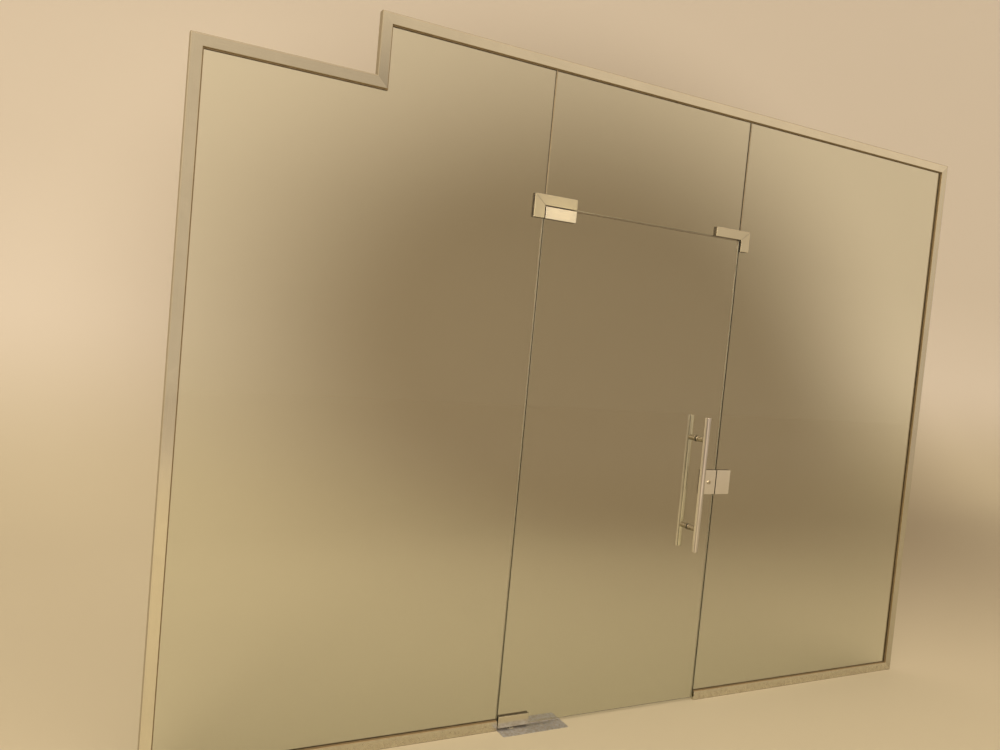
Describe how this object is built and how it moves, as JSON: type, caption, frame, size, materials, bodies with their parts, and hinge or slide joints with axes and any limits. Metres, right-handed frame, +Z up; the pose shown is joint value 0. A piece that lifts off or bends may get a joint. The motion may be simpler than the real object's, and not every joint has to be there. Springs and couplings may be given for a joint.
{
  "type": "glass entrance door",
  "caption": "Frameless glass door leaf on a floor spring, with fixed side panes and an over pane in a stepped steel frame, patch fittings, lock and pull handles.",
  "frame": {"origin": "on the door's pivot axis, in the middle of the glass thickness, at the finished floor", "axes": "+X along the screen from the hinge side to the lock side, +Y into the room (the picture looks along it from outside), +Z up"},
  "size_m": [3.725, 0.148, 2.7375],
  "materials": {
    "frame_steel": "mirror-polished stainless steel",
    "fitting_steel": "polished stainless steel cover",
    "handle_steel": "polished tube with a fine grain",
    "plate_steel": "dull satin, scuffed",
    "clear_glass": "clear toughened glass with a green edge",
    "seal_rubber": "dark glazing seal",
    "silicone": "grey silicone",
    "pad_rubber": "matt",
    "jaw_alloy": "cast",
    "nylon": "milky",
    "box_steel": "zinc plated sheet",
    "cast_body": "painted casting",
    "lock_brass": "nickel plated",
    "lock_steel": "zinc plated",
    "bolt_steel": "bright steel"
  },
  "bodies": {
    "screen": {"corner_clamp_pads": "pad_rubber", "corner_clamp_screws": "bolt_steel", "cover_plate_screws": "bolt_steel", "floor_box": "box_steel", "floor_cover_plate": "plate_steel", "floor_spring_body": "cast_body", "head_return": "frame_steel", "hinge_corner_covers_inner": "fitting_steel", "hinge_corner_covers_outer": "fitting_steel", "hinge_corner_jaw_inner": "jaw_alloy", "hinge_corner_jaw_outer": "jaw_alloy", "left_jamb": "frame_steel", "left_pane": "clear_glass", "left_pane_seals": "seal_rubber", "left_sill": "frame_steel", "lock_corner_covers_inner": "fitting_steel", "lock_corner_covers_outer": "fitting_steel", "lock_corner_jaw_inner": "jaw_alloy", "lock_corner_jaw_outer": "jaw_alloy", "lower_head": "frame_steel", "over_pane": "clear_glass", "over_pane_seals": "seal_rubber", "right_jamb": "frame_steel", "right_pane": "clear_glass", "right_pane_seals": "seal_rubber", "right_sill": "frame_steel", "setting_blocks": "pad_rubber", "silicone_joints": "silicone", "sill_end_plates": "frame_steel", "strike_body": "lock_steel", "strike_cover_inner": "fitting_steel", "strike_cover_outer": "fitting_steel", "top_pivot_pin": "bolt_steel", "upper_head": "frame_steel"},
    "door": {"door_pane": "clear_glass", "top_patch_jaw_outer": "jaw_alloy", "top_patch_jaw_inner": "jaw_alloy", "top_patch_cover_outer": "fitting_steel", "top_patch_cover_inner": "fitting_steel", "top_pivot_bush": "nylon", "bottom_patch_jaw_outer": "jaw_alloy", "bottom_patch_jaw_inner": "jaw_alloy", "bottom_patch_cover_outer": "fitting_steel", "bottom_patch_cover_inner": "fitting_steel", "door_clamp_pads": "pad_rubber", "door_clamp_screws": "bolt_steel", "spindle": "bolt_steel", "lock_case": "lock_steel", "lock_cover_outer": "fitting_steel", "lock_cover_inner": "fitting_steel", "key_cylinder": "lock_brass", "handle_bar_outer": "handle_steel", "handle_bar_inner": "handle_steel", "handle_end_caps": "handle_steel", "handle_posts": "handle_steel", "handle_washers": "nylon", "handle_bolts": "bolt_steel"},
    "lock_bolt": {"lock_bolt": "bolt_steel"},
    "thumb_turn": {"thumb_turn": "lock_brass"},
    "key_plug": {"key_plug": "lock_brass"}
  },
  "joints": [
    {"name": "door_swing", "type": "hinge", "parent": "screen", "child": "door", "pos_m": [0, 0, 0], "axis": [0, 0, 1], "range_deg": [-90, 90], "stiffness_Nm_per_rad": 15},
    {"name": "bolt_throw", "type": "slide", "parent": "door", "child": "lock_bolt", "axis": [1, 0, 0], "range_m": [0, 0.017]},
    {"name": "thumb_turn_rotation", "type": "hinge", "parent": "door", "child": "thumb_turn", "pos_m": [0.912, 0, 1.016], "axis": [0, 1, 0], "range_deg": [0, 90]},
    {"name": "key_plug_rotation", "type": "hinge", "parent": "door", "child": "key_plug", "pos_m": [0.912, 0, 1.016], "axis": [0, 1, 0], "range_deg": [0, 90]}
  ],
  "couplings": [
    {"joint": "thumb_turn_rotation", "follows": "bolt_throw", "rad_per_m": 92.39},
    {"joint": "key_plug_rotation", "follows": "bolt_throw", "rad_per_m": 92.39}
  ]
}
